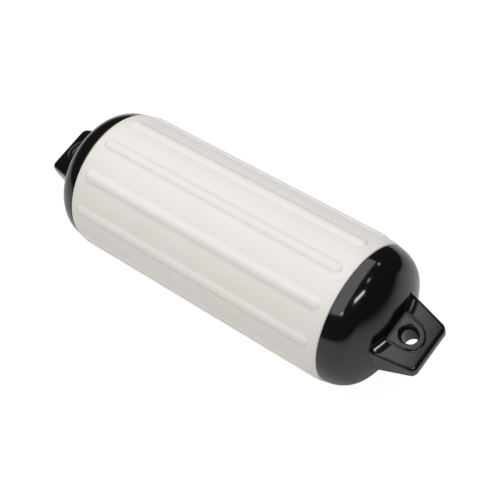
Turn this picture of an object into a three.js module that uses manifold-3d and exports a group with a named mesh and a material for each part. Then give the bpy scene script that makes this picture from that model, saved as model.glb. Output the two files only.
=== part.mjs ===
// An inflatable ribbed boat fender that lies on its side: white body, two black end mouldings with
// rope eyes, and the inflation valve in one end. Millimetres, +Z up, the fender's axis along X.
import * as THREE from 'three';
import { mergeVertices } from 'three/addons/utils/BufferGeometryUtils.js';
import Module from 'manifold-3d';

const wasm = await Module();
wasm.setup();

const degree = Math.PI / 180;

// Fits
const jointClearance = 0.3;
const cutOverrun = 5;

// Body
const overallLength = 664;
const bodyLength = 444;
const bodyRadius = 105.5;
const bodyWall = 3;
const shoulderLength = 14;
const shoulderDrop = 2;
const shoulderSteps = 3;
const flatSpotDepth = 1;

// Ribs
const ribCount = 12;
const ribLength = 418;
const ribWidth = 15;
const ribHeight = 2.9;
const ribEndSteps = 3;
const ribSectionSteps = 4;
const landSteps = 4;

// End mouldings
const endRadius = 103.3;
const endWall = 3.5;
const endSegments = 48;
const domeLead = 5;
const domeShoulderLength = 44;
const domeShoulderDrop = 33;
const domeShoulderAngle = 66 * degree;
const domeShoulderSteps = 6;
const crownSteps = 3;
const spigotLength = 12;
const spigotWall = 3;

// Rope eyes
const eyeTipHalfWidth = 38.4;
const eyeTipThickness = 16.4;
const eyeSideSlope = 0.216;
const eyeFaceSlope = 0.298;
const eyeCornerRadius = 7.5;
const eyeTipEdgeRadius = 4.5;
const eyeEdgeRadius = 4;
const eyeRootReach = 12;
const eyeRootRise = 4;
const eyeRootSteps = 8;
const eyeArcSteps = 3;
const boreToTip = 32;
const boreRadius = 10.5;
const boreLipWidth = 4.5;
const boreLipDepth = 9;
const boreSegments = 28;
const bossRadius = 20.2;
const bossHeight = 0.8;
const bossEdgeRadius = 0.6;
const bossBaseToTip = 51;
const bossBaseHalfWidth = 22.2;
const grooveWidth = 2.8;
const grooveDepth = 1.2;

// Inflation valve
const valveFromAxis = 60;
const valveBossRadius = 14;
const valveBossLength = 13;
const valveBarrelRadius = 8;
const valveBarrelLength = 17;
const valveFlangeRadius = 11;
const valveFlangeThickness = 3;
const valveScrewRadius = 4.5;
const valveScrewLength = 14;
const valveHeadRadius = 7.4;
const valveHeadThickness = 1.6;
const valveSlotWidth = 1.6;
const valveSlotDepth = 0.9;
const valveSegments = 24;

// Places that follow from the sizes
const seamX = bodyLength / 2;
const tipX = overallLength / 2;
const boreX = tipX - boreToTip;
const shoulderX = seamX - shoulderLength;
const ribPitch = 2 * Math.PI / ribCount;
const ribHalfAngle = ribWidth / 2 / bodyRadius;
const ribSpineX = ribLength / 2 - ribWidth / 2;
const restHeight = bodyRadius - flatSpotDepth;
const eyeTilt = ribPitch / 2;
const domeCentreX = seamX - domeLead;
const domeFaceRadius = endRadius - domeShoulderDrop * (1 - Math.cos(domeShoulderAngle));
const domeFaceSlope = domeShoulderLength / domeShoulderDrop / Math.tan(domeShoulderAngle);
const domeFaceX = domeCentreX + domeShoulderLength * Math.sin(domeShoulderAngle);
const crownHeight = domeFaceSlope * domeFaceRadius / 2;
const crownX = domeFaceX + crownHeight;

const whiteVinyl = { color: 0xe9e7e2, roughness: 0.5, metalness: 0 };
const blackVinyl = { color: 0x1b1b1c, roughness: 0.22, metalness: 0 };
const valveNylon = { color: 0x2b2c2e, roughness: 0.45, metalness: 0 };

function closedGeometry(geometry) {
  geometry.deleteAttribute('normal');
  geometry.deleteAttribute('uv');
  return mergeVertices(geometry, 1e-4);
}

function moveVertices(geometry, move) {
  const position = geometry.attributes.position;
  const point = new THREE.Vector3();
  for (let i = 0; i < position.count; i += 1) {
    point.fromBufferAttribute(position, i);
    move(point);
    position.setXYZ(i, point.x, point.y, point.z);
  }
  return geometry;
}

function toSolid(geometry) {
  const closed = closedGeometry(geometry);
  return new wasm.Manifold(new wasm.Mesh({
    numProp: 3,
    vertProperties: new Float32Array(closed.attributes.position.array),
    triVerts: new Uint32Array(closed.index.array),
  }));
}

function toGeometry(solid) {
  const mesh = solid.getMesh();
  const geometry = new THREE.BufferGeometry();
  geometry.setAttribute('position', new THREE.BufferAttribute(mesh.vertProperties, 3));
  geometry.setIndex(new THREE.BufferAttribute(mesh.triVerts, 1));
  return geometry;
}

// A profile is a list of [distance along the axis, radius], turned round the X axis.
function latheAlongX(profile, segments) {
  const points = profile.map(([along, radius]) => new THREE.Vector2(radius, along));
  return new THREE.LatheGeometry(points, segments).rotateZ(-Math.PI / 2);
}

function latheAlongZ(profile, segments) {
  const points = profile.map(([along, radius]) => new THREE.Vector2(radius, along));
  return new THREE.LatheGeometry(points, segments).rotateX(Math.PI / 2);
}

function namedMesh(name, geometry, look) {
  const mesh = new THREE.Mesh(geometry, new THREE.MeshStandardMaterial(look));
  mesh.name = name;
  return mesh;
}

// The white wall keeps its thickness round the shoulder, where it turns in to the seam.
function bodyOuterRadius(x) {
  const past = Math.max(0, Math.abs(x) - shoulderX) / shoulderLength;
  return bodyRadius - shoulderDrop * past * past;
}

// Rib height over a point of the wall: a round bead with round ends along each rib's spine.
function ribHeightAt(x, angle) {
  const nearest = Math.round(angle / ribPitch - 0.5) + 0.5;
  const across = (angle - nearest * ribPitch) * bodyRadius;
  const along = Math.max(0, Math.abs(x) - ribSpineX);
  const distance = Math.hypot(across, along) / (ribWidth / 2);
  return ribHeight * Math.sqrt(Math.max(0, 1 - distance * distance));
}

// Even steps round the body become close steps over each rib and wider ones between ribs.
function spreadAngle(evenAngle) {
  const steps = ribSectionSteps + landSteps;
  const nearest = Math.round(evenAngle / ribPitch - 0.5) + 0.5;
  const step = Math.round((evenAngle / ribPitch - nearest) * steps);
  const ribStep = Math.min(Math.abs(step), ribSectionSteps / 2);
  const landStep = Math.abs(step) - ribStep;
  const landAngle = (ribPitch / 2 - ribHalfAngle) * landStep / (landSteps / 2);
  const turn = ribHalfAngle * ribStep / (ribSectionSteps / 2) + landAngle;
  return nearest * ribPitch + Math.sign(step) * turn;
}

function bodyStations() {
  const stations = [0];
  for (let i = 0; i <= ribEndSteps; i += 1) {
    stations.push(ribSpineX + ribWidth / 2 * Math.sin(i / ribEndSteps * Math.PI / 2));
  }
  const shoulderStart = Math.max(shoulderX, ribLength / 2);
  for (let i = 1; i <= shoulderSteps; i += 1) {
    stations.push(shoulderStart + (seamX - shoulderStart) * i / shoulderSteps);
  }
  const mirrored = stations.slice(1).reverse().map((x) => -x);
  return [...mirrored, ...stations];
}

function makeBody() {
  const stations = bodyStations();
  const outer = stations.map((x) => [x, bodyOuterRadius(x)]);
  const innerStations = [seamX, shoulderX, -shoulderX, -seamX];
  const inner = innerStations.map((x) => [x, bodyOuterRadius(x) - bodyWall]);
  const profile = [...outer, ...inner, outer[0]];
  const segments = ribCount * (ribSectionSteps + landSteps);
  const geometry = closedGeometry(latheAlongX(profile, segments));
  return moveVertices(geometry, (point) => {
    const angle = spreadAngle(Math.atan2(point.y, point.z));
    const radius = Math.hypot(point.y, point.z);
    const isOuter = radius > bodyOuterRadius(point.x) - bodyWall / 2;
    const height = isOuter ? ribHeightAt(point.x, angle) : 0;
    const lowest = isOuter ? -restHeight : -restHeight + bodyWall;
    point.y = (radius + height) * Math.sin(angle);
    point.z = Math.max(lowest, (radius + height) * Math.cos(angle));
  });
}

// The dome's outside, or its inside at a wall's depth: a round shoulder, then a shallow crown.
function domeProfile(startX, wall) {
  const length = domeShoulderLength - wall;
  const drop = domeShoulderDrop - wall;
  const startAngle = Math.asin((startX - domeCentreX) / length);
  const profile = [];
  for (let i = 0; i <= domeShoulderSteps; i += 1) {
    const angle = startAngle + (domeShoulderAngle - startAngle) * i / domeShoulderSteps;
    const radius = endRadius - wall - drop * (1 - Math.cos(angle));
    profile.push([domeCentreX + length * Math.sin(angle), radius]);
  }
  const [faceX, faceRadius] = profile[profile.length - 1];
  for (let i = 1; i <= crownSteps; i += 1) {
    const radius = faceRadius * (1 - i / crownSteps);
    const rise = (crownX - wall - faceX) * (1 - (radius / faceRadius) ** 2);
    profile.push([faceX + rise, radius]);
  }
  return profile;
}

// The cup's rim steps in to a spigot that lies inside the body's end.
function makeDomeCup() {
  const startX = seamX + jointClearance;
  const spigotEndX = seamX - spigotLength;
  const spigotRadius = (x) => bodyOuterRadius(x) - bodyWall - jointClearance;
  const outside = domeProfile(startX, 0);
  const inside = domeProfile(startX, endWall).reverse();
  const innerRadius = spigotRadius(seamX) - spigotWall;
  const spigot = [
    [spigotEndX, innerRadius],
    [spigotEndX, spigotRadius(seamX)],
    [startX, spigotRadius(seamX)],
  ];
  return toSolid(latheAlongX([...inside, ...spigot, ...outside], endSegments));
}

function eyeHalfThickness(x) {
  return eyeTipThickness / 2 + eyeFaceSlope * (tipX - x);
}

function eyeHalfWidth(x) {
  return eyeTipHalfWidth + eyeSideSlope * (tipX - x);
}

// How far the crown has fallen back at a distance from the fender's axis.
function crownFall(radius) {
  return crownHeight * (radius / domeFaceRadius) ** 2;
}

// Seen from the side, the eye plate is a wedge that flares where it leaves the dome. Seen from
// above, its foot follows the crown.
function makeEyePlate() {
  const faceAngle = Math.atan(eyeFaceSlope);
  const footX = crownX - crownFall(eyeHalfThickness(crownX));
  const flareEndX = footX + eyeRootReach;
  const upper = [[footX - eyeRootReach, eyeHalfThickness(footX) + eyeRootRise]];
  for (let i = 0; i <= eyeArcSteps; i += 1) {
    const angle = Math.PI / 2 * i / eyeArcSteps;
    const x = flareEndX - eyeRootReach * Math.cos(angle);
    upper.push([x, eyeHalfThickness(x) + eyeRootRise * (1 - Math.sin(angle))]);
  }
  const cornerX = tipX - eyeTipEdgeRadius;
  const cornerZ = eyeHalfThickness(cornerX) - eyeTipEdgeRadius / Math.cos(faceAngle);
  for (let i = 0; i <= eyeArcSteps; i += 1) {
    const angle = (Math.PI / 2 - faceAngle) * (1 - i / eyeArcSteps);
    const x = cornerX + eyeTipEdgeRadius * Math.cos(angle);
    upper.push([x, cornerZ + eyeTipEdgeRadius * Math.sin(angle)]);
  }
  const lower = upper.map(([x, z]) => [x, -z]).reverse();
  const section = new THREE.Shape([...upper, ...lower].map(([x, z]) => new THREE.Vector2(x, z)));
  const geometry = new THREE.ExtrudeGeometry(section, {
    depth: 2 * (eyeTipHalfWidth - eyeEdgeRadius),
    steps: eyeRootSteps,
    bevelThickness: eyeEdgeRadius,
    bevelSize: eyeEdgeRadius,
    bevelOffset: -eyeEdgeRadius,
    bevelSegments: 2,
  });
  geometry.translate(0, 0, eyeEdgeRadius - eyeTipHalfWidth);
  geometry.rotateX(Math.PI / 2);
  moveVertices(geometry, (point) => {
    const across = point.y / eyeTipHalfWidth;
    const flare = Math.min(1, Math.max(0, (flareEndX - point.x) / eyeRootReach));
    point.x -= crownFall(across * eyeHalfWidth(point.x)) * flare;
    point.y = across * eyeHalfWidth(point.x);
  });
  return toSolid(geometry).intersect(makeEyeOutline());
}

// The plate's outline from above, with the two round corners at its tip.
function makeEyeOutline() {
  const rootX = domeCentreX;
  const sideAngle = Math.atan(eyeSideSlope);
  const side = eyeCornerRadius * Math.tan((Math.PI / 2 - sideAngle) / 2);
  const cornerX = tipX - eyeCornerRadius;
  const cornerY = eyeTipHalfWidth - side;
  const outline = new THREE.Shape();
  outline.moveTo(rootX, eyeHalfWidth(rootX));
  outline.lineTo(rootX, -eyeHalfWidth(rootX));
  outline.absarc(cornerX, -cornerY, eyeCornerRadius, sideAngle - Math.PI / 2, 0, false);
  outline.absarc(cornerX, cornerY, eyeCornerRadius, 0, Math.PI / 2 - sideAngle, false);
  const height = 2 * (eyeHalfThickness(rootX) + cutOverrun);
  const options = { depth: height, bevelEnabled: false, curveSegments: eyeArcSteps };
  return toSolid(new THREE.ExtrudeGeometry(outline, options).translate(0, 0, -height / 2));
}

// Moves what is level with the bore's mouth so that it follows the sloped faces of the plate.
function followEyeFaces(geometry) {
  return moveVertices(geometry, (point) => {
    point.z += Math.sign(point.z) * (eyeHalfThickness(point.x) - eyeHalfThickness(boreX));
  });
}

// The boss's drop shape from above, grown outward by an even margin.
function dropShape(margin) {
  const radius = bossRadius + margin;
  const baseX = tipX - bossBaseToTip - margin;
  const baseHalfWidth = bossBaseHalfWidth + margin;
  const cornerDistance = Math.hypot(boreX - baseX, baseHalfWidth);
  const cornerAngle = Math.atan2(baseHalfWidth, baseX - boreX);
  const touchAngle = cornerAngle - Math.acos(radius / cornerDistance);
  const outline = new THREE.Shape();
  outline.moveTo(baseX, baseHalfWidth);
  outline.lineTo(baseX, -baseHalfWidth);
  outline.absarc(boreX, 0, radius, -touchAngle, touchAngle, false);
  return outline;
}

// A drop-shaped block through the plate whose two ends follow the plate's faces at a level.
function makeDropBlock(margin, level, edgeRadius) {
  const halfHeight = eyeHalfThickness(boreX) + level;
  const geometry = new THREE.ExtrudeGeometry(dropShape(margin), {
    depth: 2 * (halfHeight - edgeRadius),
    bevelEnabled: edgeRadius > 0,
    bevelThickness: edgeRadius,
    bevelSize: edgeRadius,
    bevelOffset: -edgeRadius,
    bevelSegments: 1,
    curveSegments: 2 * eyeArcSteps,
  });
  geometry.translate(0, 0, edgeRadius - halfHeight);
  return toSolid(followEyeFaces(geometry));
}

// The drop-shaped boss round the bore, raised on both faces of the plate.
function makeEyeBoss() {
  return makeDropBlock(0, bossHeight, bossEdgeRadius);
}

// The pocket round the boss, in both faces, which leaves a groove round it.
function makeEyeGroove() {
  const overFaces = makeDropBlock(grooveWidth, cutOverrun, 0);
  return overFaces.subtract(makeDropBlock(grooveWidth + cutOverrun, -grooveDepth, 0));
}

// The rope bore, with a flared lip at both mouths whose section is a quarter of an ellipse.
function makeEyeBore() {
  const mouth = eyeHalfThickness(boreX) + bossHeight;
  const lip = [];
  for (let i = 0; i <= eyeArcSteps; i += 1) {
    const angle = Math.PI / 2 * i / eyeArcSteps;
    const z = mouth - boreLipDepth * (1 - Math.sin(angle));
    lip.push([z, boreRadius + boreLipWidth * (1 - Math.cos(angle))]);
  }
  const mouthRadius = boreRadius + boreLipWidth;
  const top = [...lip, [mouth + cutOverrun, mouthRadius], [mouth + cutOverrun, 0]];
  const bottom = top.map(([z, radius]) => [-z, radius]).reverse();
  const geometry = latheAlongZ([...bottom, ...top], boreSegments);
  geometry.translate(boreX, 0, 0);
  return toSolid(followEyeFaces(geometry));
}

function makeEndMoulding() {
  const plate = makeEyePlate().subtract(makeEyeGroove()).add(makeEyeBoss());
  return makeDomeCup().add(plate).subtract(makeEyeBore());
}

// The valve stands square to the crown, with its outer face level with the dome.
function valvePlace() {
  const slope = 2 * crownHeight * valveFromAxis / domeFaceRadius ** 2;
  const surfaceX = crownX - crownFall(valveFromAxis);
  const place = new THREE.Object3D();
  place.position.set(surfaceX, 0, valveFromAxis);
  place.rotation.y = -Math.atan(slope);
  place.updateMatrix();
  return place.matrix;
}

function makeValveSeatBoss() {
  const profile = [
    [-endWall - valveBossLength, 0],
    [-endWall - valveBossLength, valveBossRadius],
    [-endWall / 2, valveBossRadius],
    [-endWall / 2, 0],
  ];
  return toSolid(latheAlongX(profile, valveSegments).applyMatrix4(valvePlace()));
}

function makeValveSeatCut() {
  const recess = -valveFlangeThickness - jointClearance;
  const throughX = -endWall - valveBossLength - cutOverrun;
  const profile = [
    [throughX, 0],
    [throughX, valveBarrelRadius + jointClearance],
    [recess, valveBarrelRadius + jointClearance],
    [recess, valveFlangeRadius + jointClearance],
    [cutOverrun, valveFlangeRadius + jointClearance],
    [cutOverrun, 0],
  ];
  return toSolid(latheAlongX(profile, valveSegments).applyMatrix4(valvePlace()));
}

function makeValveHousing() {
  const headSeat = -valveHeadThickness - jointClearance;
  const boreWall = valveScrewRadius + jointClearance;
  const headWall = valveHeadRadius + jointClearance;
  const profile = [
    [-valveBarrelLength, boreWall],
    [-valveBarrelLength, valveBarrelRadius],
    [-valveFlangeThickness, valveBarrelRadius],
    [-valveFlangeThickness, valveFlangeRadius],
    [0, valveFlangeRadius],
    [0, headWall],
    [headSeat, headWall],
    [headSeat, boreWall],
    [-valveBarrelLength, boreWall],
  ];
  return closedGeometry(latheAlongX(profile, valveSegments));
}

function makeValveScrew() {
  const profile = [
    [-valveScrewLength, 0],
    [-valveScrewLength, valveScrewRadius],
    [-valveHeadThickness, valveScrewRadius],
    [-valveHeadThickness, valveHeadRadius],
    [0, valveHeadRadius],
    [0, 0],
  ];
  const slotLength = 2 * valveHeadRadius + cutOverrun;
  const slot = new THREE.BoxGeometry(2 * valveSlotDepth, slotLength, valveSlotWidth);
  return toGeometry(toSolid(latheAlongX(profile, valveSegments)).subtract(toSolid(slot)));
}

const group = new THREE.Group();
group.position.z = restHeight;
group.add(namedMesh('body_shell', makeBody(), whiteVinyl));

const ends = new THREE.Group();
ends.rotation.x = eyeTilt;
group.add(ends);

const plainEnd = makeEndMoulding();
ends.add(namedMesh('plain_end', toGeometry(plainEnd), blackVinyl));

const valveEndGroup = new THREE.Group();
valveEndGroup.rotation.z = Math.PI;
ends.add(valveEndGroup);
const valveEnd = plainEnd.add(makeValveSeatBoss()).subtract(makeValveSeatCut());
valveEndGroup.add(namedMesh('valve_end', toGeometry(valveEnd), blackVinyl));

const valve = new THREE.Group();
valve.applyMatrix4(valvePlace());
valveEndGroup.add(valve);
valve.add(namedMesh('valve_housing', makeValveHousing(), valveNylon));
valve.add(namedMesh('valve_screw', makeValveScrew(), valveNylon));

export default group;
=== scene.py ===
"""An inflated boat fender lying on its side: satin white ribbed body, glossy black ends."""
import math

import bpy
import numpy as np
from mathutils import Matrix, Vector


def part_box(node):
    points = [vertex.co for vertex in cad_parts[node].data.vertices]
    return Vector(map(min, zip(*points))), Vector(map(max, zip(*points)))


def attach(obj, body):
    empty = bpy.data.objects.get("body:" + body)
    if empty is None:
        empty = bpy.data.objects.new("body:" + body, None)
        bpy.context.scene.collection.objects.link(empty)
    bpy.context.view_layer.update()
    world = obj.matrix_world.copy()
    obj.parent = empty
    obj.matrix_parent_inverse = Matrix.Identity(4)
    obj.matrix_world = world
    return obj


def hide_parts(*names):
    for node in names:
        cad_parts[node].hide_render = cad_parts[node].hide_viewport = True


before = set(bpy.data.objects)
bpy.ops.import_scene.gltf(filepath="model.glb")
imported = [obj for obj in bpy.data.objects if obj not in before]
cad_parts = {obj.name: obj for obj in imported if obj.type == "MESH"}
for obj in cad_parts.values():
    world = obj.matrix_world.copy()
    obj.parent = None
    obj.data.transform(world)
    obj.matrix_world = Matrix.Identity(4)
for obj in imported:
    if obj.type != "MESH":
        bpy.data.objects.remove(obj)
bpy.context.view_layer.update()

MM = 0.001
TINY = 1e-9
BODY_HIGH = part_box("body_shell")[1]
END_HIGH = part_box("plain_end")[1]

# Sizes that the solids share, in metres
SEAM_X = BODY_HIGH[0]
TIP_X = END_HIGH[0]
BODY_RADIUS = BODY_HIGH[1]
FLAT_SPOT_DEPTH = 1.0 * MM
REST_HEIGHT = BODY_RADIUS - FLAT_SPOT_DEPTH
BODY_WALL = 3.0 * MM
SHOULDER_LENGTH = 14.0 * MM
SHOULDER_DROP = 2.0 * MM
JOINT_CLEARANCE = 0.3 * MM

# Ribs
RIB_COUNT = 12
RIB_LENGTH = 418.0 * MM
RIB_HEIGHT = 2.9 * MM
RIB_REACH = 8.0 * MM
RIB_ROUNDNESS = 0.9
RIB_PITCH = 2 * math.pi / RIB_COUNT
EYE_TILT = RIB_PITCH / 2

# Black ends
END_RADIUS = 103.3 * MM
END_WALL = 3.5 * MM
DOME_LEAD = 5.0 * MM
DOME_CENTRE_X = SEAM_X - DOME_LEAD
DOME_SHOULDER_LENGTH = 44.0 * MM
DOME_SHOULDER_DROP = 33.0 * MM
DOME_SHOULDER_ANGLE = math.radians(66)
DOME_FACE_RADIUS = END_RADIUS - DOME_SHOULDER_DROP * (1 - math.cos(DOME_SHOULDER_ANGLE))
DOME_FACE_X = DOME_CENTRE_X + DOME_SHOULDER_LENGTH * math.sin(DOME_SHOULDER_ANGLE)
DOME_FACE_SLOPE = DOME_SHOULDER_LENGTH / DOME_SHOULDER_DROP / math.tan(DOME_SHOULDER_ANGLE)
CROWN_HEIGHT = DOME_FACE_SLOPE * DOME_FACE_RADIUS / 2
CROWN_X = DOME_FACE_X + CROWN_HEIGHT
RIM_EDGE_RADIUS = 1.0 * MM
SPIGOT_LENGTH = 12.0 * MM
SPIGOT_WALL = 3.0 * MM
CUP_START_ANGLE = 0.2

# Rope eyes
EYE_TIP_HALF_WIDTH = 38.4 * MM
EYE_TIP_HALF_THICKNESS = 8.2 * MM
EYE_SIDE_SLOPE = 0.216
EYE_FACE_SLOPE = 0.298
EYE_CORNER_RADIUS = 7.5 * MM
EYE_EDGE_RADIUS = 4.4 * MM
EYE_ROOT_REACH = 12.0 * MM
EYE_ROOT_RISE = 4.0 * MM
EYE_SIDE_ROOT_RADIUS = 3.0 * MM
EYE_ROOT_BLEND = 6.0 * MM
BORE_TO_TIP = 32.0 * MM
BORE_X = TIP_X - BORE_TO_TIP
BORE_RADIUS = 10.5 * MM
BORE_LIP_WIDTH = 4.5 * MM
BORE_LIP_DEPTH = 9.0 * MM
BOSS_RADIUS = 20.2 * MM
BOSS_HEIGHT = 0.8 * MM
BOSS_EDGE_RADIUS = 0.7 * MM
BOSS_BASE_TO_TIP = 51.0 * MM
BOSS_BASE_X = TIP_X - BOSS_BASE_TO_TIP
BOSS_BASE_HALF_WIDTH = 22.2 * MM
BOSS_CORNER_RADIUS = 2.0 * MM
GROOVE_WIDTH = 2.8 * MM
GROOVE_DEPTH = 1.2 * MM
GROOVE_EDGE_RADIUS = 0.6 * MM
GROOVE_FOOT_RADIUS = 0.8 * MM

# Valve
VALVE_FROM_AXIS = 60.0 * MM
VALVE_FLANGE_RADIUS = 11.0 * MM
VALVE_FLANGE_THICKNESS = 3.0 * MM
VALVE_SEAT_RADIUS = VALVE_FLANGE_RADIUS + JOINT_CLEARANCE
VALVE_SEAT_DEPTH = VALVE_FLANGE_THICKNESS + JOINT_CLEARANCE
VALVE_SEAT_EDGE_RADIUS = 0.6 * MM

# Mesh fineness
CELL = 1.15 * MM
NET_MARGIN = 2
NET_STEPS = 6
SLOPE_STEP = 0.02 * MM
RIB_POINTS = 19
LAND_POINTS = 9
MIDDLE_POINTS = 20
RIB_END_POINTS = 34
RIM_POINTS = 6
CUP_POINTS = 8
CUP_SEGMENTS = 72

# Colours
WHITE_SHADE = (0.79, 0.765, 0.725, 1)
WHITE_LIGHT = (0.83, 0.81, 0.775, 1)
BLACK_DEEP = (0.0045, 0.0045, 0.0046, 1)
BLACK_PALE = (0.0065, 0.0065, 0.0066, 1)
NYLON_GREY = (0.028, 0.028, 0.03, 1)
FLOOR_PALE = (0.82, 0.82, 0.82, 1)
STUDIO_DARK = (0.03, 0.03, 0.03, 1)
STUDIO_WHITE = (1, 1, 1, 1)
NEUTRAL_LIGHT = (1.0, 1.0, 1.0)
WARM_LIGHT = (1.0, 0.96, 0.84)

# The part of a noise's range that most of its values lie in
NOISE_LOW = 0.3
NOISE_HIGH = 0.7

# Camera
CAMERA_TARGET = Vector((0.02645, 0.00151, 0.1045))
CAMERA_DISTANCE = 1.7854
CAMERA_BACK = Vector((0.46565, -0.50501, 0.72673))
CAMERA_RIGHT = Vector((0.7722, 0.633, -0.0549))
CAMERA_LENS = 91.28
CAMERA_SENSOR = 36.0
CAMERA_FAR = 50.0

# Floor and lamps
FLOOR_LOW = (-3.0, -2.2)
FLOOR_HIGH = (1.6, 2.2)
# Where the floor's painted dark surround fades in along x
FLOOR_FADE = (0.55, 1.25)
FLOOR_GLOW = 1.07
FLOOR_GLOW_SHARE = 0.9
SOFTBOX_CENTRE = (-0.35, -0.45, 1.6)
SOFTBOX_SIZE = (2.2, 3.5)
SOFTBOX_TURN = math.radians(12)
SOFTBOX_POWER = 41.0
FILL_SIZE = (1.6, 0.8)
SPARK_AIM = Vector((0.24, -0.02, 0.18))
SPARK_DISTANCE = 1.6


def new_piece(name, vertices, faces, material):
    mesh = bpy.data.meshes.new(name)
    mesh.from_pydata(vertices, [], faces)
    mesh.validate()
    mesh.materials.append(material)
    mesh.shade_smooth()
    piece = bpy.data.objects.new(name, mesh)
    bpy.context.scene.collection.objects.link(piece)
    return piece


def ring_faces(rings, columns, start=0, is_closed=False):
    """Quads between rings of points, and from the last ring to the first if is_closed."""
    faces = []
    for i in range(rings if is_closed else rings - 1):
        here = start + i * columns
        below = start + (i + 1) % rings * columns
        for j in range(columns):
            beside = (j + 1) % columns
            faces.append((here + j, here + beside, below + beside, below + j))
    return faces


# Materials
def new_material(name):
    material = bpy.data.materials.new(name)
    material.use_nodes = True
    return material, material.node_tree, material.node_tree.nodes["Principled BSDF"]


def connect(tree, shader, outputs):
    for name, output in outputs.items():
        tree.links.new(output, shader.inputs[name])


def object_place(tree):
    return tree.nodes.new("ShaderNodeTexCoord").outputs["Object"]


def noise(tree, place, scale, detail):
    node = tree.nodes.new("ShaderNodeTexNoise")
    node.inputs["Scale"].default_value = scale
    node.inputs["Detail"].default_value = detail
    tree.links.new(place, node.inputs["Vector"])
    return node.outputs["Fac"]


def noise_between(tree, value, low, high):
    """A noise spread out from low to high."""
    node = tree.nodes.new("ShaderNodeMapRange")
    node.inputs["From Min"].default_value = NOISE_LOW
    node.inputs["From Max"].default_value = NOISE_HIGH
    node.inputs["To Min"].default_value = low
    node.inputs["To Max"].default_value = high
    tree.links.new(value, node.inputs["Value"])
    return node.outputs["Result"]


def two_tone(tree, share, first, second):
    """A colour that goes from the first to the second with a share from 0 to 1."""
    node = tree.nodes.new("ShaderNodeMix")
    node.data_type = "RGBA"
    node.inputs["A"].default_value = first
    node.inputs["B"].default_value = second
    tree.links.new(share, node.inputs["Factor"])
    return node.outputs["Result"]


def bump(tree, height, strength, distance, below=None):
    node = tree.nodes.new("ShaderNodeBump")
    node.inputs["Strength"].default_value = strength
    node.inputs["Distance"].default_value = distance
    tree.links.new(height, node.inputs["Height"])
    if below is not None:
        tree.links.new(below, node.inputs["Normal"])
    return node.outputs["Normal"]


def white_vinyl():
    """Off-white vinyl: a satin skin with soft waves and a fine pebble."""
    material, tree, shader = new_material("white_vinyl")
    place = object_place(tree)
    waves = noise(tree, place, scale=9.0, detail=2.0)
    pebble = noise(tree, place, scale=900.0, detail=3.0)
    tint = noise(tree, place, scale=14.0, detail=4.0)
    colour = two_tone(tree, tint, WHITE_SHADE, WHITE_LIGHT)
    gloss = noise_between(tree, tint, low=0.42, high=0.52)
    soft = bump(tree, waves, strength=0.35, distance=2.0 * MM)
    fine = bump(tree, pebble, strength=0.12, distance=0.15 * MM, below=soft)
    connect(tree, shader, {"Base Color": colour, "Roughness": gloss, "Normal": fine})
    shader.inputs["IOR"].default_value = 1.5
    shader.inputs["Subsurface Weight"].default_value = 0.05
    shader.inputs["Subsurface Radius"].default_value = (3 * MM, 2.4 * MM, 2 * MM)
    return material


def black_vinyl():
    """Black moulded vinyl: a deep gloss over a faint orange peel."""
    material, tree, shader = new_material("black_vinyl")
    place = object_place(tree)
    flow = noise(tree, place, scale=30.0, detail=2.0)
    peel = noise(tree, place, scale=500.0, detail=2.0)
    smear = noise(tree, place, scale=22.0, detail=5.0)
    colour = two_tone(tree, smear, BLACK_DEEP, BLACK_PALE)
    gloss = noise_between(tree, smear, low=0.09, high=0.15)
    soft = bump(tree, flow, strength=0.10, distance=1.0 * MM)
    fine = bump(tree, peel, strength=0.05, distance=0.1 * MM, below=soft)
    connect(tree, shader, {"Base Color": colour, "Roughness": gloss, "Normal": fine})
    shader.inputs["Specular IOR Level"].default_value = 0.64
    return material


def valve_nylon():
    """Dark grey nylon with a dull, slightly grainy skin."""
    material, tree, shader = new_material("valve_nylon")
    grain = noise(tree, object_place(tree), scale=1200.0, detail=3.0)
    gloss = noise_between(tree, grain, low=0.35, high=0.5)
    fine = bump(tree, grain, strength=0.2, distance=0.1 * MM)
    connect(tree, shader, {"Roughness": gloss, "Normal": fine})
    shader.inputs["Base Color"].default_value = NYLON_GREY
    return material


# White body
def body_outer_radius(x):
    past = np.maximum(0, np.abs(x) - (SEAM_X - SHOULDER_LENGTH)) / SHOULDER_LENGTH
    return BODY_RADIUS - SHOULDER_DROP * past ** 2


def rib_height(x, angle):
    """A round bead along each rib's spine, with round ends."""
    nearest = np.round(angle / RIB_PITCH - 0.5) + 0.5
    across = (angle - nearest * RIB_PITCH) * BODY_RADIUS
    along = np.maximum(0, np.abs(x) - (RIB_LENGTH / 2 - RIB_REACH))
    distance = np.hypot(across, along) / RIB_REACH
    return RIB_HEIGHT * np.maximum(0, 1 - distance ** 2) ** RIB_ROUNDNESS


def body_angles():
    """Angles round the body, close together over the ribs."""
    reach = RIB_REACH / BODY_RADIUS
    over_rib = np.linspace(-reach, reach, RIB_POINTS)
    between = np.linspace(reach, RIB_PITCH - reach, LAND_POINTS)[1:-1]
    one_pitch = np.concatenate([over_rib, between])
    starts = (np.arange(RIB_COUNT) + 0.5) * RIB_PITCH
    return np.concatenate([start + one_pitch for start in starts])


def body_stations():
    """Places along the body, close together at the rib ends and the shoulders."""
    rib_end = RIB_LENGTH / 2 - 2 * RIB_REACH
    middle = np.linspace(0, rib_end, MIDDLE_POINTS)
    near_end = np.linspace(rib_end, SEAM_X - RIM_EDGE_RADIUS, RIB_END_POINTS)[1:]
    half = np.concatenate([middle, near_end])
    return np.concatenate([-half[:0:-1], half])


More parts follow.
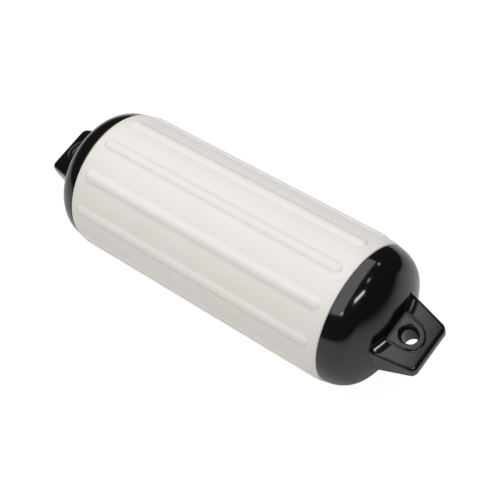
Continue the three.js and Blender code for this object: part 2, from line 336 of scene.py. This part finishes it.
def rim_arc(sign):
    """The body's rounded rim at the seam, then down its end face."""
    points = []
    edge_x = SEAM_X - RIM_EDGE_RADIUS
    edge_radius = float(body_outer_radius(SEAM_X)) - RIM_EDGE_RADIUS
    for turn in np.linspace(0, math.pi / 2, RIM_POINTS)[1:]:
        x = edge_x + RIM_EDGE_RADIUS * math.sin(turn)
        points.append((sign * x, edge_radius + RIM_EDGE_RADIUS * math.cos(turn)))
    points.append((sign * SEAM_X, edge_radius + RIM_EDGE_RADIUS - BODY_WALL))
    return points


def body_vertices():
    """Rings of points along the outside, over one rim, back along the inside and the other rim."""
    outer = [(x, float(body_outer_radius(x))) for x in body_stations()]
    inner_radius = BODY_RADIUS - BODY_WALL
    inner = [(sign * (SEAM_X - SHOULDER_LENGTH), inner_radius) for sign in (1, -1)]
    profile = outer + rim_arc(1) + inner + rim_arc(-1)[::-1]
    x, radius = np.array(profile).T
    x, angle = np.meshgrid(x, body_angles(), indexing="ij")
    is_outer = (np.arange(len(profile)) < len(outer))[:, None]
    radius = radius[:, None] + rib_height(x, angle) * is_outer
    lowest = np.where(is_outer, -REST_HEIGHT, -REST_HEIGHT + BODY_WALL)
    y = -radius * np.sin(angle)
    z = np.maximum(radius * np.cos(angle), lowest) + REST_HEIGHT
    return np.stack([x, y, z], axis=-1)


def make_body(material):
    vertices = body_vertices()
    rings, columns = vertices.shape[:2]
    faces = ring_faces(rings, columns, is_closed=True)
    piece = new_piece("ribbed_body", vertices.reshape(-1, 3).tolist(), faces, material)
    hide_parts("body_shell")
    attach(piece, "root")
    return piece


# Black ends. A distance is negative inside the material. x is along the fender, v across the eye
# plate and w square to it.
def round_union(a, b, radius):
    corner = np.hypot(np.maximum(radius - a, 0), np.maximum(radius - b, 0))
    return np.maximum(radius, np.minimum(a, b)) - corner


def flared_union(a, b, reach, rise):
    """A union whose fillet runs out as far as reach from a and climbs as far as rise from b."""
    near_a = np.maximum(1 - a / reach, 0)
    near_b = np.maximum(1 - b / rise, 0)
    corner = np.hypot(near_a, near_b)
    slope = np.hypot(near_a / reach, near_b / rise) / np.maximum(corner, TINY)
    return np.where(corner > TINY, (1 - corner) / np.maximum(slope, TINY), np.minimum(a, b))


def round_overlap(a, b, radius):
    corner = np.hypot(np.maximum(radius + a, 0), np.maximum(radius + b, 0))
    return np.minimum(-radius, np.maximum(a, b)) + corner


def ellipse_distance(across, along, half_width, half_length):
    """Distance past an ellipse, from places given as shares of its two half lengths."""
    reach = np.hypot(across, along) + TINY
    slope = np.hypot(across / half_width, along / half_length) / reach + TINY
    return (reach - 1) / slope


def dome_distance(x, v, w):
    """The dome's outside: an elliptic shoulder that runs into a shallow crown."""
    r = np.hypot(v, w)
    shoulder_x = (x - DOME_CENTRE_X) / DOME_SHOULDER_LENGTH
    shoulder_r = (r - END_RADIUS + DOME_SHOULDER_DROP) / DOME_SHOULDER_DROP
    sizes = (DOME_SHOULDER_LENGTH, DOME_SHOULDER_DROP)
    shoulder = ellipse_distance(shoulder_x, shoulder_r, *sizes)
    crown_slope = 2 * CROWN_HEIGHT * r / DOME_FACE_RADIUS ** 2
    crown_x = CROWN_X - CROWN_HEIGHT * (r / DOME_FACE_RADIUS) ** 2
    crown = (x - crown_x) / np.hypot(1, crown_slope)
    return np.where(r > DOME_FACE_RADIUS, shoulder, crown)


def eye_half_thickness(x):
    return EYE_TIP_HALF_THICKNESS + EYE_FACE_SLOPE * (TIP_X - x)


def above_face(x, w, level):
    """Height over a face of the eye plate, or over a level that stands proud of it."""
    return (np.abs(w) - eye_half_thickness(x) - level) / math.hypot(1, EYE_FACE_SLOPE)


def beside_plate(x, v):
    half_width = EYE_TIP_HALF_WIDTH + EYE_SIDE_SLOPE * (TIP_X - x)
    return (np.abs(v) - half_width) / math.hypot(1, EYE_SIDE_SLOPE)


def plate_distance(x, v, w):
    """The wedge-shaped eye plate, with its round corners and edges."""
    outline = round_overlap(beside_plate(x, v), x - TIP_X, EYE_CORNER_RADIUS)
    return round_overlap(outline, above_face(x, w, 0), EYE_EDGE_RADIUS)


def drop_outline(x, v):
    """The boss's drop shape: an arc round the bore, and two sides down to a straight base."""
    v = np.abs(v)
    base_distance = math.hypot(BORE_X - BOSS_BASE_X, BOSS_BASE_HALF_WIDTH)
    corner_angle = math.atan2(BOSS_BASE_HALF_WIDTH, BOSS_BASE_X - BORE_X)
    touch = corner_angle - math.acos(BOSS_RADIUS / base_distance)
    across = (x - BORE_X) * math.cos(touch) + v * math.sin(touch) - BOSS_RADIUS
    along = v * math.cos(touch) - (x - BORE_X) * math.sin(touch)
    side = np.where(along > 0, across, np.hypot(x - BORE_X, v) - BOSS_RADIUS)
    return round_overlap(side, BOSS_BASE_X - x, BOSS_CORNER_RADIUS)


def boss_distance(x, v, w):
    return round_overlap(drop_outline(x, v), above_face(x, w, BOSS_HEIGHT), BOSS_EDGE_RADIUS)


def pocket_distance(x, v, w):
    """The pocket round the boss, whose floor is a groove in the plate's face."""
    floor = -GROOVE_DEPTH - above_face(x, w, 0)
    return round_overlap(drop_outline(x, v) - GROOVE_WIDTH, floor, GROOVE_FOOT_RADIUS)


def cut_bore(solid, x, v, w):
    """Takes out the rope bore, with lips whose section is a quarter of an ellipse."""
    inward = (BORE_RADIUS + BORE_LIP_WIDTH - np.hypot(x - BORE_X, v)) / BORE_LIP_WIDTH
    lip_foot = eye_half_thickness(x) + BOSS_HEIGHT - BORE_LIP_DEPTH
    upward = (np.abs(w) - lip_foot) / BORE_LIP_DEPTH
    is_over_bore = inward > 0
    sizes = (BORE_LIP_WIDTH, BORE_LIP_DEPTH)
    bore = ellipse_distance(np.maximum(0, inward), np.maximum(0, upward), *sizes)
    return np.where(is_over_bore, np.maximum(solid, bore), solid)


def end_distance(x, v, w):
    """The whole end's outside. The fillet at the plate's foot is smaller past its sides."""
    outward = np.clip(beside_plate(x, v) / EYE_ROOT_BLEND + 1, 0, 1)
    blend = outward * outward * (3 - 2 * outward)
    reach = EYE_ROOT_REACH + (EYE_SIDE_ROOT_RADIUS - EYE_ROOT_REACH) * blend
    rise = EYE_ROOT_RISE + (EYE_SIDE_ROOT_RADIUS - EYE_ROOT_RISE) * blend
    solid = flared_union(dome_distance(x, v, w), plate_distance(x, v, w), reach, rise)
    solid = round_overlap(solid, -pocket_distance(x, v, w), GROOVE_EDGE_RADIUS)
    solid = round_union(solid, boss_distance(x, v, w), GROOVE_FOOT_RADIUS)
    solid = cut_bore(solid, x, v, w)
    rim = SEAM_X + JOINT_CLEARANCE - x
    return round_overlap(solid, rim, RIM_EDGE_RADIUS)


def valve_end_distance(x, v, w):
    """The end with the round recess for the valve's flange, square to the crown."""
    slope = 2 * CROWN_HEIGHT * VALVE_FROM_AXIS / DOME_FACE_RADIUS ** 2
    surface_x = CROWN_X - CROWN_HEIGHT * (VALVE_FROM_AXIS / DOME_FACE_RADIUS) ** 2
    outward_x = 1 / math.hypot(1, slope)
    outward_w = slope / math.hypot(1, slope)
    depth = (surface_x - x) * outward_x + (VALVE_FROM_AXIS - w) * outward_w
    sideways = (surface_x - x) * outward_w - (VALVE_FROM_AXIS - w) * outward_x
    across = np.hypot(sideways, v)
    seat = np.maximum(across - VALVE_SEAT_RADIUS, depth - VALVE_SEAT_DEPTH)
    return round_overlap(end_distance(x, v, w), -seat, VALVE_SEAT_EDGE_RADIUS)


def distance_slope(distance, points):
    """The vector along which a distance grows, at each point."""
    slope = np.empty_like(points)
    for axis in range(3):
        offset = np.zeros(3)
        offset[axis] = SLOPE_STEP
        slope[:, axis] = distance(*(points + offset).T) - distance(*(points - offset).T)
    return slope / (2 * SLOPE_STEP)


def crossed_cells(inside):
    """Which grid cells have corners on both sides of the surface."""
    cells = np.array(inside.shape) - 1
    corner_sum = np.zeros(cells, dtype=int)
    for shift in np.ndindex(2, 2, 2):
        window = tuple(slice(s, s + n) for s, n in zip(shift, cells))
        corner_sum += inside[window]
    return (corner_sum > 0) & (corner_sum < 8)


def surface_net(distance, cell):
    """A quad mesh of a distance's zero surface: one vertex in each grid cell that it crosses."""
    low = np.array([SEAM_X, -END_RADIUS, -END_RADIUS]) - NET_MARGIN * cell
    high = np.array([TIP_X, END_RADIUS, END_RADIUS]) + NET_MARGIN * cell
    counts = np.ceil((high - low) / cell).astype(int) + 1
    ticks = [low[axis] + cell * np.arange(counts[axis]) for axis in range(3)]
    inside = distance(*np.meshgrid(*ticks, indexing="ij")) < 0
    crossed = crossed_cells(inside)
    cells = np.argwhere(crossed)
    number = np.full(crossed.shape, -1)
    number[crossed] = np.arange(len(cells))
    points = low + cell * (cells + 0.5)
    for _ in range(NET_STEPS):
        slope = distance_slope(distance, points)
        steepness = (slope ** 2).sum(axis=1)
        points = points - slope * (distance(*points.T) / steepness)[:, None]
    quads = [quads_across(inside, number, axis) for axis in range(3)]
    return points, np.concatenate(quads)


def quads_across(inside, number, axis):
    """One quad round each grid edge along axis whose two ends lie on different sides."""
    first, second = (axis + 1) % 3, (axis + 2) % 3
    here = [slice(None)] * 3
    there = [slice(None)] * 3
    here[axis], there[axis] = slice(0, -1), slice(1, None)
    leaves = inside[tuple(here)]
    edges = np.argwhere(leaves != inside[tuple(there)])
    keep = (edges[:, first] > 0) & (edges[:, second] > 0)
    keep &= (edges[:, first] < number.shape[first]) & (edges[:, second] < number.shape[second])
    edges = edges[keep]
    is_forward = leaves[tuple(edges.T)]
    corners = []
    for a, b in ((0, 0), (1, 0), (1, 1), (0, 1)):
        cell_index = edges.copy()
        cell_index[:, first] -= 1 - a
        cell_index[:, second] -= 1 - b
        corners.append(number[tuple(cell_index.T)])
    quads = np.stack(corners, axis=1)
    quads[~is_forward] = quads[~is_forward][:, ::-1]
    return quads


def directions_to_frame(directions, sign):
    """From the eye plate's own axes to the part's, at either end."""
    x, v, w = directions.T
    v = v * sign
    cos, sin = math.cos(EYE_TILT), math.sin(EYE_TILT)
    return np.stack([x * sign, v * cos - w * sin, v * sin + w * cos], axis=1)


def to_frame(points, sign):
    return directions_to_frame(points, sign) + np.array([0, 0, REST_HEIGHT])


def end_shell(distance):
    """The end's outside and rim, with the normals. The net's flat back is left out."""
    points, quads = surface_net(distance, CELL)
    centres = points[quads].mean(axis=1)
    is_back = centres[:, 0] < SEAM_X + RIM_EDGE_RADIUS / 2
    is_back &= np.hypot(centres[:, 1], centres[:, 2]) < END_RADIUS - 2 * RIM_EDGE_RADIUS
    quads = quads[~is_back]
    used = np.unique(quads)
    renumber = np.full(len(points), -1)
    renumber[used] = np.arange(len(used))
    points = points[used]
    return points, renumber[quads], distance_slope(distance, points)


def cup_profile():
    """The end's inside: from the crown over the inner wall, along the spigot and up the rim."""
    rim_radius = float(body_outer_radius(SEAM_X)) - BODY_WALL - JOINT_CLEARANCE
    profile = [(CROWN_X - END_WALL, 0.0)]
    for turn in np.linspace(DOME_SHOULDER_ANGLE, CUP_START_ANGLE, CUP_POINTS):
        x = DOME_CENTRE_X + (DOME_SHOULDER_LENGTH - END_WALL) * math.sin(turn)
        drop = (DOME_SHOULDER_DROP - END_WALL) * (1 - math.cos(turn))
        profile.append((x, END_RADIUS - END_WALL - drop))
    profile += [
        (SEAM_X, END_RADIUS - 2 * END_WALL),
        (SEAM_X - SPIGOT_LENGTH, rim_radius - SPIGOT_WALL),
        (SEAM_X - SPIGOT_LENGTH, rim_radius),
        (SEAM_X + JOINT_CLEARANCE, rim_radius),
        (SEAM_X + JOINT_CLEARANCE, END_RADIUS - RIM_EDGE_RADIUS),
    ]
    return profile


def end_lining():
    """Rings of points over the end's inside."""
    angles = 2 * math.pi * np.arange(CUP_SEGMENTS) / CUP_SEGMENTS
    x, radius = np.array(cup_profile()).T
    x, angle = np.meshgrid(x, angles, indexing="ij")
    radius = radius[:, None]
    return np.stack([x, -radius * np.sin(angle), radius * np.cos(angle)], axis=-1)


def make_end(name, node, sign, distance, material):
    shell, quads, slopes = end_shell(distance)
    lining = end_lining()
    lining_faces = ring_faces(len(lining), CUP_SEGMENTS, start=len(shell))
    lining = lining.reshape(-1, 3)
    vertices = to_frame(np.concatenate([shell, lining]), sign)
    faces = quads.tolist() + lining_faces
    piece = new_piece(name, vertices.tolist(), faces, material)
    # A zero normal leaves the smooth one that the mesh has by itself.
    normals = np.concatenate([directions_to_frame(slopes, sign), np.zeros_like(lining)])
    piece.data.normals_split_custom_set_from_vertices(normals.tolist())
    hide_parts(node)
    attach(piece, "root")
    return piece


# Stage
def make_camera():
    camera = bpy.data.objects.new("camera", bpy.data.cameras.new("camera"))
    bpy.context.scene.collection.objects.link(camera)
    back = CAMERA_BACK.normalized()
    right = (CAMERA_RIGHT - back * CAMERA_RIGHT.dot(back)).normalized()
    up = back.cross(right)
    place = Matrix((right, up, back)).transposed().to_4x4()
    place.translation = CAMERA_TARGET + back * CAMERA_DISTANCE
    camera.matrix_world = place
    camera.data.lens = CAMERA_LENS
    camera.data.sensor_width = CAMERA_SENSOR
    camera.data.clip_end = CAMERA_FAR
    bpy.context.scene.camera = camera


def floor_colour(tree):
    """Pale, but painted dark past the near end: a painted dark surround that the glossy dome
    mirrors there.
    """
    split = tree.nodes.new("ShaderNodeSeparateXYZ")
    tree.links.new(object_place(tree), split.inputs["Vector"])
    fade = tree.nodes.new("ShaderNodeMapRange")
    fade.interpolation_type = "SMOOTHSTEP"
    fade.inputs["From Min"].default_value = FLOOR_FADE[0]
    fade.inputs["From Max"].default_value = FLOOR_FADE[1]
    tree.links.new(split.outputs["X"], fade.inputs["Value"])
    return two_tone(tree, fade.outputs["Result"], FLOOR_PALE, STUDIO_DARK)


def floor_material():
    """A dull floor. The camera sees it mostly as an even white that keeps a light shadow."""
    material, tree, shader = new_material("floor")
    nodes, links = tree.nodes, tree.links
    links.new(floor_colour(tree), shader.inputs["Base Color"])
    shader.inputs["Roughness"].default_value = 1.0
    shader.inputs["Specular IOR Level"].default_value = 0.0
    glow = nodes.new("ShaderNodeEmission")
    glow.inputs["Strength"].default_value = FLOOR_GLOW
    share = nodes.new("ShaderNodeMath")
    share.operation = "MULTIPLY"
    share.inputs[1].default_value = FLOOR_GLOW_SHARE
    path = nodes.new("ShaderNodeLightPath")
    links.new(path.outputs["Is Camera Ray"], share.inputs[0])
    mix = nodes.new("ShaderNodeMixShader")
    links.new(share.outputs["Value"], mix.inputs["Fac"])
    links.new(shader.outputs["BSDF"], mix.inputs[1])
    links.new(glow.outputs["Emission"], mix.inputs[2])
    links.new(mix.outputs["Shader"], nodes["Material Output"].inputs["Surface"])
    return material


def make_floor():
    (low_x, low_y), (high_x, high_y) = FLOOR_LOW, FLOOR_HIGH
    corners = [(low_x, low_y, 0), (high_x, low_y, 0), (high_x, high_y, 0), (low_x, high_y, 0)]
    floor = new_piece("floor", corners, [(0, 1, 2, 3)], floor_material())


def area_lamp(name, place, size, power):
    lamp = bpy.data.objects.new(name, bpy.data.lights.new(name, "AREA"))
    bpy.context.scene.collection.objects.link(lamp)
    lamp.data.shape = "RECTANGLE"
    lamp.data.size, lamp.data.size_y = size
    lamp.data.energy = power
    lamp.location = place
    return lamp


def turn_back_to(lamp, direction):
    """Turns a lamp so that it shines against a direction."""
    lamp.rotation_euler = direction.to_track_quat("Z", "Y").to_euler()


def make_softbox():
    """One large soft light overhead."""
    lamp = area_lamp("softbox", SOFTBOX_CENTRE, SOFTBOX_SIZE, SOFTBOX_POWER)
    lamp.rotation_euler = (0, 0, SOFTBOX_TURN)


def make_fill(name, place, power, colour):
    """A weak light from the side that only lifts the body's shaded parts."""
    lamp = area_lamp(name, place, FILL_SIZE, power)
    turn_back_to(lamp, Vector(place) - Vector((0, 0, REST_HEIGHT)))
    lamp.data.color = colour
    lamp.visible_glossy = False


def make_spark(name, direction, size, power):
    """A small bright lamp that the near end's dome mirrors."""
    direction = Vector(direction).normalized()
    lamp = area_lamp(name, SPARK_AIM + direction * SPARK_DISTANCE, size, power)
    turn_back_to(lamp, direction)


def make_lights():
    make_softbox()
    make_fill("near_fill", place=(0.1, -1.7, 0.45), power=3.9, colour=WARM_LIGHT)
    make_fill("far_fill", place=(-0.2, 1.7, 0.6), power=5.0, colour=NEUTRAL_LIGHT)
    make_spark("long_spark", direction=(0.645, -0.156, 0.748), size=(0.62, 0.2), power=4.4)
    make_spark("low_spark", direction=(0.34, -0.724, 0.6), size=(0.17, 0.12), power=0.4)
    make_spark("middle_spark", direction=(0.478, 0.274, 0.834), size=(0.18, 0.14), power=0.32)
    make_spark("high_spark", direction=(0.19, 0.735, 0.65), size=(0.16, 0.12), power=0.2)


def make_world():
    """A dim studio that the camera sees as white."""
    world = bpy.data.worlds.new("studio")
    bpy.context.scene.world = world
    world.use_nodes = True
    tree = world.node_tree
    path = tree.nodes.new("ShaderNodeLightPath")
    level = two_tone(tree, path.outputs["Is Camera Ray"], STUDIO_DARK, STUDIO_WHITE)
    tree.links.new(level, tree.nodes["Background"].inputs["Color"])


def main():
    make_camera()
    make_world()
    make_lights()
    make_floor()
    white, black, nylon = white_vinyl(), black_vinyl(), valve_nylon()
    make_body(white)
    make_end("plain_end_moulding", "plain_end", 1, end_distance, black)
    make_end("valve_end_moulding", "valve_end", -1, valve_end_distance, black)
    for node in ("valve_housing", "valve_screw"):
        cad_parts[node].material_slots[0].material = nylon
    bpy.context.scene.view_settings.view_transform = "Standard"


main()
